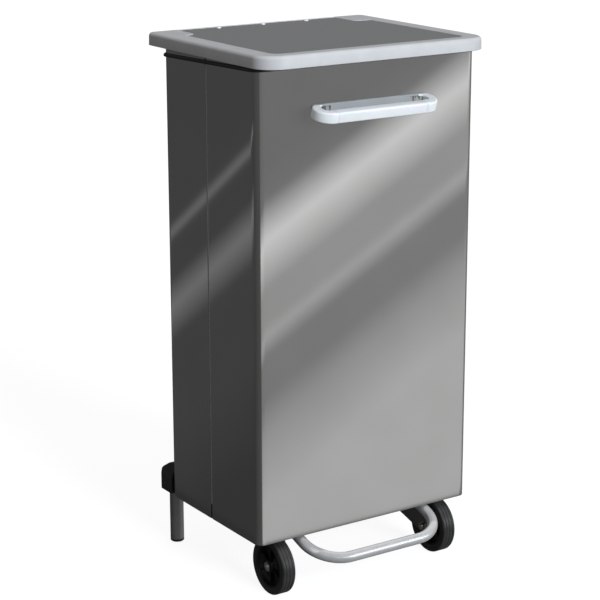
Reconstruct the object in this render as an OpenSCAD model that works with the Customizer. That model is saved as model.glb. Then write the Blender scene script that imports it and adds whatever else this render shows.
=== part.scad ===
// Pedal-operated waste bin on two wheels and two legs.
// Millimetres, +Z up, the floor is z = 0, the front faces -Y.
// The origin is on the floor under the middle of the whole object's box.

/* [Casing] */
// Outside width of the sheet casing
casing_w = 440; // [420:1:480]
// Outside depth of the sheet casing
casing_d = 294; // [286:1:320]
// Height of the casing's lower edge above the floor
casing_low = 105; // [104:1:108]
// Height of the casing's upper edge above the floor
casing_top = 914; // [780:1:1000]
// Outside radius of the casing's upright bends
casing_r = 15; // [10:1:20]
// Thickness of the casing sheet
sheet = 1.2; // [1:0.1:1.5]
// Width of the open joint between the front and the rear sheet
seam_gap = 4; // [2:0.5:6]
// Height of the open notch under each joint strip
seam_notch = 26; // [15:1:40]

/* [Lid] */
// Outside width of the lid
lid_w = 450; // [450:1:450]
// How far the lid reaches forward of the casing's middle
lid_front = 182; // [176:1:188]
// How far the lid reaches back of the casing's middle
lid_back = 196; // [192:1:202]
// Depth of the lid from its top face to the edge of its skirt
lid_deep = 21.6; // [20:0.2:23]
// Angle to which the lid opens
lid_open = 70; // [55:1:72]

/* [Wheels and legs] */
// Wheel diameter
wheel_d = 100; // [98:1:100]
// Wheel width
wheel_w = 25; // [22:0.5:25]
// Distance of the wheel axle in front of the casing's middle
axle_front = 116.5; // [110:0.5:118]
// Diameter of the rear legs
leg_d = 25; // [22:0.5:25]
// Distance of the legs behind the casing's middle
leg_back = 178.5; // [178:0.5:180]

/* [Pedal] */
// Diameter of the pedal's tube
pedal_d = 19; // [16:0.5:19]
// Width of the pedal between the middles of its two arms
pedal_w = 262; // [240:1:262]
// Distance of the foot bar in front of the casing's middle
pedal_reach = 205; // [200:1:210]
// Height of the middle of the foot bar above the floor
pedal_z = 73.7; // [72:0.1:76]
// Radius of the pedal's two corner bends
pedal_bend = 60; // [40:1:70]

/* [Handle] */
// Width of the handle ring
handle_w = 241; // [200:1:260]
// How far the handle stands out from the casing
handle_out = 45; // [40:1:55]
// Height of the handle's grip from top to bottom
handle_h = 16; // [14:0.5:20]
// How far the handle droops towards its grip, in degrees
handle_tilt = 13; // [0:1:15]

/* [Hidden] */

$fn = 64;
eps = 0.01;

// The casing stands this far back of the origin, so that the object's box is centred
casing_y = ((pedal_reach + pedal_d / 2) - lid_back) / 2;
half_w = casing_w / 2;
half_d = casing_d / 2;
inner_w = half_w - sheet;
inner_d = half_d - sheet;

// The front and rear sheets meet here, a little behind the middle
seam_y = 6;
strip_w = 40;
strip_t = 2;

// Plastic profile on the casing's upper edge
rim_leg = 12;
rim_cap = 3;
rim_w = 4.2;

// Bag strap, a rubber band that lies lower at the back
strap_rear_z = casing_top - 15;
strap_front_z = casing_top - 7;
strap_h = 6;
strap_t = 4;
strap_gap = 0.3;
strap_tilt = atan((strap_front_z - strap_rear_z) / casing_d);

// Lid
lid_top = casing_top + 18;
lid_low = lid_top - lid_deep;
lid_half = lid_w / 2;
lid_front_r = 40;
lid_rear_r = 15;
lid_edge_r = 6;
lid_wall = 2.8;
lid_plate = 4;
lid_under = lid_top - lid_plate;
panel_recess = 1.8;
panel_t = 1;
panel_gap = 0.4;
panel_half = 190;
panel_front = 156;
panel_rear_half = 155;
panel_step_y = 118;
panel_back = 191;
panel_r = 16;

// Rivets on the rear wall
wall_rivet_r = 1.6;

// Hinge
hinge_y = 158;
hinge_z = lid_under - 7;
hinge_len = 240;
hinge_segments = 5;
segment = hinge_len / hinge_segments;
knuckle_r = 5.5;
hinge_pin_r = 2.5;
running = 0.05;
leaf_t = 2;
rivet_x = [-91, 0, 91];
rivet_y = 176;
rivet_r = 2;

// Rod that joins the pedal's lever to the lid
rod_x = 178;
rod_r = 4;
rod_arm = 30;
rod_y = hinge_y - rod_arm;
rod_stroke = 2 * rod_arm * tan(lid_open / 2);
rod_top_z = hinge_z - rod_stroke / 2;
rod_pin_r = 3;
clevis_gap = 0.6;
clevis_cheek = 3.5;
clevis_w = 14;
clevis_throat = 14;
clevis_block = 6;
clevis_over = 7;
guide_z = [300, 620];

// Pedal pivot and lever
pivot_y = -20;
pivot_z = 133.3;
pivot_tube_r = 10;
pivot_bore_r = 8;
shaft_r = 6;
pivot_half = 190;
lever_t = 4;
lever_h = 14;
lever_back = rod_y - pivot_y;
pedal_slope = atan((pivot_z - pedal_z) / (pivot_y + pedal_reach));
pedal_length = (pivot_y + pedal_reach) / cos(pedal_slope);
pedal_wall = 2;

// Base frame, folded channels that open downwards
rail_z = 109;
rail_h = 16;
rail_w = 25;
rail_t = 1.5;
front_rail_z = 113;
rail_top = rail_z + rail_h;
frame_half_d = 143;
side_rail_half = 131;
front_rail_w = 20;

// Wheels
wheel_r = wheel_d / 2;
wheel_in = 158;
axle_y = -axle_front;
axle_z = wheel_r;
axle_r = 4;
plate_x = 150;
plate_t = 3;
tread_t = 12;
hub_r = wheel_r - tread_t;
wheel_bush_r = 6;

// Legs
leg_x = 192;
leg_foot = 5;
leg_top = 131;
leg_wall = 1.5;
leg_bar_z = 119;
leg_bar_r = 10;
bracket_x = 110;
bumper_in = 165;
bumper_back = 193.5;
bumper_low = casing_low + 0.5;
bumper_top = 161;

// Tray
tray_z = 200;
tray_t = 1.5;
tray_rim = 14;
post_w = 10;

// Handle
handle_z = 843.8;
handle_half = handle_w / 2;
handle_base_t = 4;
handle_bar = 16.5;
handle_side = 16;
handle_back = 1.5;
handle_rear_r = 16;
handle_pocket = 2.5;
handle_r = 26;
handle_hole_r = 9;
handle_seam_x = 88;
handle_seam = 0.4;

// ---- helpers ----

module at_casing() {
    translate([0, casing_y, 0]) children();
}

// A child on the right-hand side and its mirror image on the left
module both_sides() {
    children();
    mirror([1, 0, 0]) children();
}

// A flat shape drawn in Y and Z, t thick towards +X
module yz(x, t) {
    translate([x, 0, 0]) rotate([90, 0, 90]) linear_extrude(t) children();
}

// A cylinder along +X
module x_cylinder(r, x0, x1, y, z) {
    translate([x0, y, z]) rotate([0, 90, 0]) cylinder(r = r, h = x1 - x0);
}

// Rectangle from (-x1, y0) to (x1, y1) with front corners of radius rf and rear ones of rb
module round_rect(x1, y0, y1, rf, rb) {
    translate([-x1 + rf, y0]) square([2 * (x1 - rf), y1 - y0 - rb]);
    translate([-x1, y0 + rf]) square([2 * x1, y1 - y0 - rf - rb]);
    translate([-x1 + rb, y0 + rf]) square([2 * (x1 - rb), y1 - y0 - rf]);
    for (s = [-1, 1]) {
        translate([s * (x1 - rf), y0 + rf]) circle(rf);
        translate([s * (x1 - rb), y1 - rb]) circle(rb);
    }
}

// Sweeps a section round a rounded rectangle; the section's x is its distance outside the outline
module around(x1, y0, y1, rf, rb) {
    side = y1 - y0 - rf - rb;
    side_y = (y0 + rf + y1 - rb) / 2;
    translate([0, y1, 0]) edge(2 * (x1 - rb)) children();
    translate([0, y0, 0]) rotate([0, 0, 180]) edge(2 * (x1 - rf)) children();
    translate([x1, side_y, 0]) rotate([0, 0, -90]) edge(side) children();
    translate([-x1, side_y, 0]) rotate([0, 0, 90]) edge(side) children();
    translate([x1 - rb, y1 - rb, 0]) corner(rb) children();
    translate([-x1 + rb, y1 - rb, 0]) rotate([0, 0, 90]) corner(rb) children();
    translate([-x1 + rf, y0 + rf, 0]) rotate([0, 0, 180]) corner(rf) children();
    translate([x1 - rf, y0 + rf, 0]) rotate([0, 0, 270]) corner(rf) children();
}

module edge(length) {
    rotate([90, 0, 90]) linear_extrude(length, center = true) children();
}

module corner(r) {
    rotate_extrude(angle = 90) translate([r, 0]) children();
}

// ---- casing ----

module casing_outline() {
    difference() {
        round_rect(half_w, -half_d, half_d, casing_r, casing_r);
        round_rect(inner_w, -inner_d, inner_d, casing_r - sheet, casing_r - sheet);
    }
}

module front_casing() {
    color("silver") at_casing() translate([0, 0, casing_low])
        linear_extrude(casing_top - casing_low) difference() {
            casing_outline();
            translate([-casing_w, seam_y - seam_gap / 2]) square([2 * casing_w, casing_d]);
        }
}

module rear_casing() {
    color("silver") at_casing() difference() {
        translate([0, 0, casing_low]) linear_extrude(casing_top - casing_low) difference() {
            casing_outline();
            translate([-casing_w, seam_y + seam_gap / 2 - casing_d]) square([2 * casing_w, casing_d]);
        }
        hinge_rivet_places() cylinder(r = wall_rivet_r, h = 20, center = true);
        guide_rivet_places() cylinder(r = wall_rivet_r, h = 20, center = true);
        both_sides() bracket_screw_places() cylinder(r = 2.9, h = 20, center = true);
    }
}

// Flat strips inside the casing that close the joint between the two sheets
module seam_strips() {
    low = casing_low + seam_notch;
    high = casing_top - rim_leg - 2;
    color("gainsboro") at_casing() both_sides()
        translate([inner_w - strip_t, seam_y - strip_w / 2, low]) cube([strip_t, strip_w, high - low]);
}

// Rivets on the rear wall, along +Y from its outer face: four hold the hinge, two each rod guide
module hinge_rivet_places() {
    for (x = [-90, -30, 30, 90])
        translate([x, half_d, casing_top - 5.5]) rotate([-90, 0, 0]) children();
}

module guide_rivet_places() {
    for (z = guide_z, h = [-14, 14])
        translate([rod_x, half_d, z + h]) rotate([-90, 0, 0]) children();
}

// A blind rivet that clamps a plate of the given thickness to the outside of the wall
module wall_rivet(plate) {
    translate([0, 0, -sheet]) cylinder(r = wall_rivet_r, h = sheet + plate);
    translate([0, 0, plate]) cylinder(r1 = 3.4, r2 = 2, h = 1.3);
}

module wall_rivets() {
    color("silver") at_casing() {
        hinge_rivet_places() wall_rivet(leaf_t);
        guide_rivet_places() wall_rivet(0);
    }
}

module rim_profile() {
    color("dimgray") at_casing() around(half_w, -half_d, half_d, casing_r, casing_r) {
        union() {
            translate([-rim_w, casing_top - rim_leg]) square([rim_w - sheet, rim_leg + rim_cap]);
            translate([-rim_w, casing_top]) square([rim_w, rim_cap]);
        }
    }
}

module strap_section() {
    r = strap_t / 2;
    translate([strap_gap, -strap_h / 2 + r]) square([strap_t, strap_h - 2 * r]);
    for (s = [-1, 1]) translate([strap_gap + r, s * (strap_h / 2 - r)]) circle(r);
}

module bag_strap() {
    z = (strap_rear_z + strap_front_z) / 2;
    color("black") at_casing() translate([0, 0, z]) rotate([-strap_tilt, 0, 0])
        around(half_w, -half_d, half_d, casing_r, casing_r) strap_section();
}

// ---- inside the casing ----

module bottom_tray() {
    x = inner_w - 0.5;
    y = inner_d - 0.5;
    r = casing_r - sheet - 0.5;
    color("gainsboro") at_casing() difference() {
        translate([0, 0, tray_z]) linear_extrude(tray_rim) round_rect(x - strip_t, -y, y, r, r);
        translate([0, 0, tray_z + tray_t]) linear_extrude(tray_rim)
            round_rect(x - strip_t - tray_t, -y + tray_t, y - tray_t, r - tray_t, r - tray_t);
        translate([rod_x, rod_y, tray_z - 1]) cylinder(r = rod_r + 4, h = tray_t + 2);
    }
}

module tray_posts() {
    color("silver") at_casing() both_sides()
        for (y = [-100, 100]) translate([inner_w - rail_w / 2 - post_w / 2, y - post_w / 2, rail_top])
            cube([post_w, post_w, tray_z - rail_top]);
}

// A folded channel: a box whose inside is open below
module channel(size, open = [0, 0]) {
    difference() {
        cube(size);
        translate([open[0] ? -1 : rail_t, open[1] ? -1 : rail_t, -1])
            cube([size[0] - (open[0] ? -2 : 2 * rail_t), size[1] - (open[1] ? -2 : 2 * rail_t),
                size[2] - rail_t + 1]);
    }
}

module base_frame() {
    x = inner_w - rail_w;
    color("darkgray") at_casing() {
        both_sides() translate([x, -side_rail_half, rail_z])
            channel([rail_w, 2 * side_rail_half, rail_h], [0, 1]);
        translate([-x, frame_half_d - rail_w, rail_z]) channel([2 * x, rail_w, rail_h], [1, 0]);
        translate([-x, -frame_half_d, front_rail_z])
            channel([2 * x, front_rail_w, rail_top - front_rail_z], [1, 0]);
    }
}

// ---- front wheels ----

module bracket_outline() {
    axle = [axle_y, axle_z];
    difference() {
        union() {
            translate(axle) circle(15);
            polygon([
                [-116, rail_z], [axle_y - 15, axle_z + 2], [axle_y - 10, axle_z - 5],
                [axle_y + 4, axle_z - 14.5], [-38, 56], [-31, 64], [-31, rail_z],
            ]);
        }
        translate(axle) circle(axle_r + 0.1);
    }
}

module wheel_brackets() {
    flange_t = 3;
    color("dimgray") at_casing() both_sides() difference() {
        union() {
            yz(plate_x, plate_t) bracket_outline();
            translate([plate_x, -131, rail_z - flange_t]) cube([inner_w - plate_x - 2, 100, flange_t]);
        }
        for (y = [-118, -50]) translate([206, y, rail_z - flange_t - 1]) cylinder(r = 3.1, h = flange_t + 2);
    }
}

// Bolts that hold the wheel brackets under the side rails
module bracket_bolts() {
    head = 3.5;
    color("silver") at_casing() both_sides() for (y = [-118, -50]) translate([206, y, 0]) {
        translate([0, 0, rail_z - 3 - head]) cylinder(r = 5.6, h = head, $fn = 6);
        translate([0, 0, rail_z - 3]) cylinder(r = 3, h = rail_h + 3 - rail_t);
    }
}

// A bolt along X whose head is outside the wheel
module axle_bolts() {
    face = wheel_in + wheel_w + 1.9;
    end = 141.6;
    color("silver") at_casing() both_sides() {
        x_cylinder(axle_r, end, face, axle_y, axle_z);
        x_cylinder(6.5, face, face + 1.5, axle_y, axle_z);
        translate([face + 1.5 - eps, axle_y, axle_z]) rotate([0, 90, 0]) cylinder(r1 = 6.5, r2 = 3, h = 2.5);
    }
}

module axle_nuts() {
    color("silver") at_casing() both_sides() difference() {
        union() {
            x_cylinder(7.4, plate_x - 6.3, plate_x - 1, axle_y, axle_z, $fn = 6);
            x_cylinder(8.5, plate_x - 1, plate_x, axle_y, axle_z);
        }
        x_cylinder(axle_r, plate_x - 8, plate_x + 1, axle_y, axle_z);
    }
}

// Spacer between bracket and wheel, and washer under the bolt's head
module axle_spacers() {
    inner = plate_x + plate_t;
    outer = wheel_in + wheel_w + 0.3;
    color("gray") at_casing() both_sides() difference() {
        union() {
            x_cylinder(7, inner, wheel_in + 0.1, axle_y, axle_z);
            x_cylinder(8.5, outer, outer + 1.6, axle_y, axle_z);
        }
        x_cylinder(axle_r, inner - 1, outer + 3, axle_y, axle_z);
    }
}

// Half-section of the tyre with three grooves round its tread
module tyre_section() {
    groove_w = 1.6;
    groove_deep = 1;
    difference() {
        union() {
            translate([hub_r, 0]) square([tread_t - 3, wheel_w]);
            translate([hub_r, 3]) square([tread_t, wheel_w - 6]);
            for (z = [3, wheel_w - 3]) translate([wheel_r - 3, z]) circle(3);
        }
        for (k = [1:3]) translate([wheel_r - groove_deep, wheel_w * k / 4 - groove_w / 2])
            square([groove_deep + 1, groove_w]);
    }
}

module tyre() {
    rotate([0, 90, 0]) rotate_extrude($fn = 96) tyre_section();
}

// Moulded wheel centre: rim, dished web with ribs, and boss
module hub() {
    rim_t = 4;
    web_t = 4;
    boss_r = 11;
    ribs = 6;
    rib_t = 3;
    margin = 0.4;
    rotate([0, 90, 0]) difference() {
        union() {
            difference() {
                cylinder(r = hub_r, h = wheel_w - 2 * margin);
                translate([0, 0, -1]) cylinder(r = hub_r - rim_t, h = wheel_w + 2);
            }
            translate([0, 0, wheel_w / 2 - web_t / 2]) cylinder(r = hub_r - rim_t + 0.5, h = web_t);
            cylinder(r = boss_r, h = wheel_w - 2 * margin);
            for (k = [0:ribs - 1]) rotate([0, 0, k * 360 / ribs])
                translate([boss_r - 1, -rib_t / 2, 4]) cube([hub_r - rim_t - boss_r + 1.5, rib_t, wheel_w - 9]);
        }
        translate([0, 0, -1]) cylinder(r = wheel_bush_r, h = wheel_w + 2);
    }
}

module wheel_bush() {
    rotate([0, 90, 0]) difference() {
        cylinder(r = wheel_bush_r, h = wheel_w - 0.8);
        translate([0, 0, -1]) cylinder(r = axle_r + running, h = wheel_w + 2);
    }
}

module at_right_axle(margin) {
    at_casing() translate([wheel_in + margin, axle_y, axle_z]) children();
}

module left_tyre() color("black") mirror([1, 0, 0]) at_right_axle(0) tyre();
module left_hub() color("#202020") mirror([1, 0, 0]) at_right_axle(0.4) hub();
module left_wheel_bush() color("white") mirror([1, 0, 0]) at_right_axle(0.4) wheel_bush();
module right_tyre() color("black") at_right_axle(0) tyre();
module right_hub() color("#202020") at_right_axle(0.4) hub();
module right_wheel_bush() color("white") at_right_axle(0.4) wheel_bush();

// ---- rear legs ----

module leg_frame() {
    r = leg_d / 2;
    color("silver") at_casing() difference() {
        union() {
            both_sides() translate([leg_x, leg_back, leg_foot]) cylinder(r = r, h = leg_top - leg_foot);
            x_cylinder(leg_bar_r, -leg_x, leg_x, leg_back, leg_bar_z);
        }
        both_sides() translate([leg_x, leg_back, leg_foot - 1])
            cylinder(r = r - leg_wall, h = leg_top - leg_foot + 2);
        x_cylinder(leg_bar_r - leg_wall, -leg_x, leg_x, leg_back, leg_bar_z);
    }
}

// Plates that carry the cross bar behind the casing
module leg_brackets() {
    foot = [30, 3, 44];
    web = 6;
    color("silver") at_casing() both_sides() difference() {
        union() {
            translate([bracket_x - foot[0] / 2, half_d, casing_low + 2]) cube(foot);
            translate([bracket_x - web / 2, half_d, leg_bar_z - 9]) cube([web, leg_back - half_d, 18]);
        }
        x_cylinder(leg_bar_r, bracket_x - 10, bracket_x + 10, leg_back, leg_bar_z);
        bracket_screw_places() cylinder(r = 2.9, h = 20, center = true);
    }
}

// Two screws beside each bracket's web, along +Y from the casing's rear face
module bracket_screw_places() {
    for (p = [[-9, 12], [9, 12], [-9, 36], [9, 36]])
        translate([bracket_x + p[0], half_d, casing_low + p[1]]) rotate([-90, 0, 0]) children();
}

module bracket_screws() {
    color("silver") at_casing() both_sides() bracket_screw_places() {
        translate([0, 0, -sheet - 2]) cylinder(r = 2.9, h = sheet + 5);
        translate([0, 0, 3]) cylinder(r1 = 4.6, r2 = 3, h = 2);
    }
}

module leg_caps() {
    r = leg_d / 2;
    chamfer = 1.5;
    color("black") at_casing() both_sides() translate([leg_x, leg_back, 0]) {
        cylinder(r1 = r - chamfer, r2 = r, h = chamfer);
        translate([0, 0, chamfer]) cylinder(r = r, h = leg_foot - chamfer);
        translate([0, 0, leg_foot - eps]) cylinder(r = r - leg_wall - 0.1, h = 14);
    }
}

// Moulded blocks that keep the legs and the casing off the wall
module corner_bumpers() {
    color("black") at_casing() both_sides() difference() {
        intersection() {
            yz(bumper_in, half_w - bumper_in) polygon([
                [half_d + 0.3, bumper_low], [bumper_back - 3, bumper_low], [bumper_back, bumper_low + 3],
                [bumper_back, 130], [186, 146], [172, 156], [half_d + 0.3, bumper_top],
            ]);
            translate([0, bumper_back, 0]) rotate([90, 0, 0]) linear_extrude(60) polygon([
                [bumper_in, bumper_low], [half_w, bumper_low], [half_w, 135], [207, bumper_top],
                [bumper_in, bumper_top],
            ]);
            translate([0, 0, bumper_low]) linear_extrude(60) polygon([
                [bumper_in, half_d], [half_w, half_d], [half_w, 184], [half_w - 9, bumper_back],
                [bumper_in, bumper_back],
            ]);
        }
        translate([leg_x, leg_back, 0]) cylinder(r = leg_d / 2 + 0.1, h = leg_top + 0.3);
        x_cylinder(leg_bar_r + 0.1, bumper_in - 1, leg_x, leg_back, leg_bar_z);
    }
}

// ---- handle ----

// Places a shape that is drawn flat, with y = 0 at the casing and y towards the user
module at_handle() {
    at_casing() translate([0, -half_d, handle_z]) rotate([handle_tilt, 0, 0]) mirror([0, 1, 0])
        translate([0, 0, -handle_h]) children();
}

module handle_ring() {
    hole_half = handle_half - handle_side;
    difference() {
        round_rect(handle_half, 0, handle_out, handle_rear_r, handle_r);
        round_rect(hole_half, handle_base_t + handle_back, handle_out - handle_bar,
            handle_hole_r, handle_hole_r);
    }
}

module handle_part(x0, x1) {
    color("aliceblue") difference() {
        at_handle() linear_extrude(handle_h) intersection() {
            handle_ring();
            translate([x0, -1]) square([x1 - x0, handle_out + 2]);
        }
        handle_cut();
    }
}

// The upright space that the base takes out of the ring
module handle_cut() {
    at_casing() translate([-handle_w, -half_d - handle_base_t, handle_z - 60])
        cube([2 * handle_w, casing_d, 120]);
}

module handle_grip() handle_part(-handle_seam_x, handle_seam_x);
module handle_left_end() handle_part(-handle_half - 1, -handle_seam_x - handle_seam);
module handle_right_end() handle_part(handle_seam_x + handle_seam, handle_half + 1);

module handle_base() {
    h = handle_h + 1;
    z = handle_z - h;
    color("lightsteelblue") at_casing() difference() {
        translate([0, -half_d, z]) rotate([90, 0, 0]) linear_extrude(handle_base_t - 0.1)
            round_rect(handle_half - 6, 0, h, 4, 4);
        for (x = [-98, 98]) translate([x - 10, -half_d - handle_base_t - 1, z + 3.5])
            cube([20, handle_pocket + 1, 10]);
    }
}

module handle_screws() {
    z = handle_z - handle_h - 1 + 8.5;
    color("gray") at_casing() for (x = [-103, -93, 93, 103])
        translate([x, handle_pocket - handle_base_t - half_d, z]) rotate([90, 0, 0])
            cylinder(r1 = 3.4, r2 = 2.4, h = 2);
}

// ---- lid ----

module lid_outline(inset) {
    round_rect(lid_half - inset, -lid_front + inset, lid_back - inset, lid_front_r - inset, lid_rear_r - inset);
}

// Section of the lid's skirt and its rounded upper edge
module lid_section() {
    r = lid_edge_r;
    translate([-lid_wall, lid_low]) square([lid_wall, lid_deep - r]);
    translate([-2 * r, lid_under]) square([r, lid_plate]);
    intersection() {
        translate([-r, lid_top - r]) circle(r);
        translate([-r, lid_top - r]) square([r, r]);
    }
    translate([-r - eps, lid_under]) square([r / 2, lid_plate - r / 8]);
}

module panel_outline(inset) {
    half = panel_half - inset;
    rear = panel_rear_half - inset;
    front = -panel_front + inset;
    r = panel_r - inset;
    polygon([
        [-half, front + r], [-half + r, front], [half - r, front], [half, front + r],
        [half, panel_step_y - inset], [rear + 12, panel_step_y + 16 - inset],
        [rear, panel_step_y + 34], [rear, panel_back - inset], [-rear, panel_back - inset],
        [-rear, panel_step_y + 34], [-rear - 12, panel_step_y + 16 - inset], [-half, panel_step_y - inset],
    ]);
    for (s = [-1, 1]) translate([s * (half - r), front + r]) circle(r);
}

module rivet_holes(r) {
    for (x = rivet_x) translate([x, rivet_y, lid_under - 5]) cylinder(r = r, h = 20);
}

module lid_shell() {
    color("lightgray") at_casing() difference() {
        union() {
            around(lid_half, -lid_front, lid_back, lid_front_r, lid_rear_r) lid_section();
            translate([0, 0, lid_under]) linear_extrude(lid_plate) lid_outline(2 * lid_edge_r - 0.5);
        }
        translate([0, 0, lid_top - panel_recess]) linear_extrude(panel_recess + 1) panel_outline(0);
        rivet_holes(rivet_r + 0.1);
    }
}

module lid_panel() {
    color("gray") at_casing() difference() {
        translate([0, 0, lid_top - panel_recess]) linear_extrude(panel_t) panel_outline(panel_gap);
        rivet_holes(rivet_r + 0.1);
    }
}

// Rubber studs under the lid that land on the rim profile
module lid_buffers() {
    low = casing_top + rim_cap + 0.3;
    color("black") at_casing() for (p = [[-170, -half_d + 2.1], [170, -half_d + 2.1]])
        translate([p[0], p[1], low]) cylinder(r1 = 3, r2 = 5, h = lid_under - low);
}

// ---- lid hinge ----

// The knuckles of one leaf: even-numbered ones are fixed, odd ones move
module knuckles(first, bore) {
    gap = 0.4;
    difference() {
        union() {
            for (k = [first:2:hinge_segments - 1])
                x_cylinder(knuckle_r, -hinge_len / 2 + k * segment + gap, -hinge_len / 2 + (k + 1) * segment - gap,
                    hinge_y, hinge_z);
            children();
        }
        x_cylinder(bore, -hinge_len, hinge_len, hinge_y, hinge_z);
    }
}

module hinge_base() {
    foot_low = casing_top - 10.5;
    color("silver") at_casing() knuckles(0, hinge_pin_r) {
        difference() {
            translate([-hinge_len / 2, half_d, foot_low]) cube([hinge_len, leaf_t, casing_top + leaf_t - foot_low]);
            hinge_rivet_places() cylinder(r = wall_rivet_r, h = 20, center = true);
        }
        translate([-hinge_len / 2, half_d, casing_top]) cube([hinge_len, 4, leaf_t]);
        for (k = [0:2:hinge_segments - 1])
            translate([-hinge_len / 2 + k * segment + 0.4, half_d + 3, casing_top])
                cube([segment - 0.8, hinge_y - half_d - 3, leaf_t]);
    }
}

module hinge_leaf() {
    z = lid_under - leaf_t;
    color("silver") at_casing() difference() {
        knuckles(1, hinge_pin_r + running) {
            translate([-hinge_len / 2, hinge_y + 7, z]) cube([hinge_len, 25, leaf_t]);
            for (k = [1:2:hinge_segments - 1])
                translate([-hinge_len / 2 + k * segment + 0.4, hinge_y, z - 0.5])
                    cube([segment - 0.8, 8, leaf_t + 0.5]);
        }
        rivet_holes(rivet_r + 0.1);
    }
}

module hinge_pin() {
    color("silver") at_casing() {
        x_cylinder(hinge_pin_r, -hinge_len / 2 - 1, hinge_len / 2 + 1, hinge_y, hinge_z);
        for (x = [-hinge_len / 2 - 2, hinge_len / 2 + 1]) x_cylinder(4, x, x + 1, hinge_y, hinge_z);
    }
}

// Dome-headed rivets through the panel, the lid and the hinge's moving leaf
module hinge_rivets() {
    head_r = 4;
    head_h = 1.8;
    top = lid_top - panel_recess + panel_t;
    low = lid_under - leaf_t;
    dome_r = (head_r * head_r + head_h * head_h) / (2 * head_h);
    color("white") at_casing() for (x = rivet_x) translate([x, rivet_y, 0]) {
        translate([0, 0, low - 1.5]) cylinder(r1 = 2.6, r2 = 3.6, h = 1.5);
        translate([0, 0, low - eps]) cylinder(r = rivet_r, h = top - low + 2 * eps);
        intersection() {
            translate([0, 0, top + head_h - dome_r]) sphere(dome_r);
            translate([0, 0, top]) cylinder(r = head_r + 1, h = head_h + 1);
        }
    }
}

// ---- pedal ----

// The pedal's U, drawn flat: the foot bar along X and the arms towards +Y
module pedal_path(r) {
    half = pedal_w / 2;
    x_cylinder(r, -half + pedal_bend, half - pedal_bend, 0, 0);
    both_sides() {
        translate([half, pedal_bend, 0]) rotate([-90, 0, 0]) cylinder(r = r, h = pedal_length - pedal_bend);
        translate([half - pedal_bend, pedal_bend, 0]) rotate([0, 0, -90])
            rotate_extrude(angle = 90) translate([pedal_bend, 0]) circle(r);
    }
}

module pedal_bar() {
    color("silver") at_casing() difference() {
        translate([0, -pedal_reach, pedal_z]) rotate([pedal_slope, 0, 0]) difference() {
            pedal_path(pedal_d / 2);
            pedal_path(pedal_d / 2 - pedal_wall);
        }
        x_cylinder(pivot_tube_r, -casing_w, casing_w, pivot_y, pivot_z);
    }
}

// Tube across the pedal that turns on the shaft, with the lever that lifts the rod
module pivot_tube() {
    slot_end = sqrt(lever_back * lever_back + rod_stroke * rod_stroke);
    slot_r = rod_pin_r + 0.75;
    color("silver") at_casing() difference() {
        union() {
            x_cylinder(pivot_tube_r, -pivot_half, pivot_half, pivot_y, pivot_z);
            yz(rod_x - lever_t / 2, lever_t) translate([pivot_y, pivot_z]) {
                translate([0, -lever_h / 2]) square([slot_end, lever_h]);
                translate([slot_end, 0]) circle(lever_h / 2 + 0.01);
            }
        }
        x_cylinder(pivot_bore_r, -casing_w, casing_w, pivot_y, pivot_z);
        yz(rod_x - lever_t, 2 * lever_t) translate([pivot_y, pivot_z]) {
            for (y = [lever_back, slot_end]) translate([y, 0]) circle(slot_r);
            translate([lever_back, -slot_r]) square([slot_end - lever_back, 2 * slot_r]);
        }
    }
}

module pivot_bushes() {
    color("white") at_casing() both_sides() difference() {
        union() {
            x_cylinder(pivot_bore_r, pivot_half - 20, pivot_half, pivot_y, pivot_z);
            x_cylinder(pivot_tube_r, pivot_half, pivot_half + 1.5, pivot_y, pivot_z);
        }
        x_cylinder(shaft_r + running, 0, casing_w, pivot_y, pivot_z);
    }
}

module pivot_shaft() {
    end = pivot_half + 9;
    color("silver") at_casing() x_cylinder(shaft_r, -end, end, pivot_y, pivot_z);
}

module pivot_brackets() {
    x = inner_w - rail_w;
    color("darkgray") at_casing() both_sides() difference() {
        union() {
            yz(x, 3) intersection() {
                union() {
                    translate([pivot_y - 14, rail_top]) square([28, pivot_z - rail_top]);
                    translate([pivot_y, pivot_z]) circle(12);
                }
                translate([pivot_y - 20, rail_top]) square([40, 40]);
            }
            translate([x, pivot_y - 14, rail_top]) cube([18, 28, 2]);
        }
        x_cylinder(shaft_r, 0, casing_w, pivot_y, pivot_z);
    }
}

// Spring clips that keep the shaft in its brackets
module shaft_clips() {
    x = pivot_half + 2.3;
    color("black") at_casing() both_sides() difference() {
        x_cylinder(9, x, x + 1, pivot_y, pivot_z);
        x_cylinder(shaft_r, x - 1, x + 2, pivot_y, pivot_z);
        translate([x - 1, pivot_y - 3, pivot_z - 12]) cube([3, 6, 10]);
    }
}

// ---- push rod ----

module push_rod() {
    low = pivot_z + clevis_throat + clevis_block;
    high = rod_top_z - clevis_throat - clevis_block;
    color("silver") at_casing() translate([rod_x, rod_y, low]) cylinder(r = rod_r, h = high - low);
}

// A fork that points down, with its pin at the origin
module clevis() {
    inner = lever_t / 2 + clevis_gap;
    outer = inner + clevis_cheek;
    difference() {
        translate([-outer, -clevis_w / 2, -clevis_over])
            cube([2 * outer, clevis_w, clevis_over + clevis_throat + clevis_block]);
        translate([-inner, -clevis_w, -clevis_over - 1])
            cube([2 * inner, 2 * clevis_w, clevis_over + clevis_throat + 1]);
        x_cylinder(rod_pin_r, -outer - 1, outer + 1, 0, 0);
    }
}

module rod_clevises() {
    color("gray") at_casing() {
        translate([rod_x, rod_y, pivot_z]) clevis();
        translate([rod_x, rod_y, rod_top_z]) mirror([0, 0, 1]) clevis();
    }
}

module rod_pins() {
    half = lever_t / 2 + clevis_gap + clevis_cheek;
    color("silver") at_casing() for (z = [pivot_z, rod_top_z]) {
        x_cylinder(rod_pin_r, rod_x - half, rod_x + half, rod_y, z);
        for (x = [rod_x - half - 1.2, rod_x + half]) x_cylinder(4.5, x, x + 1.2, rod_y, z);
    }
}

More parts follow.
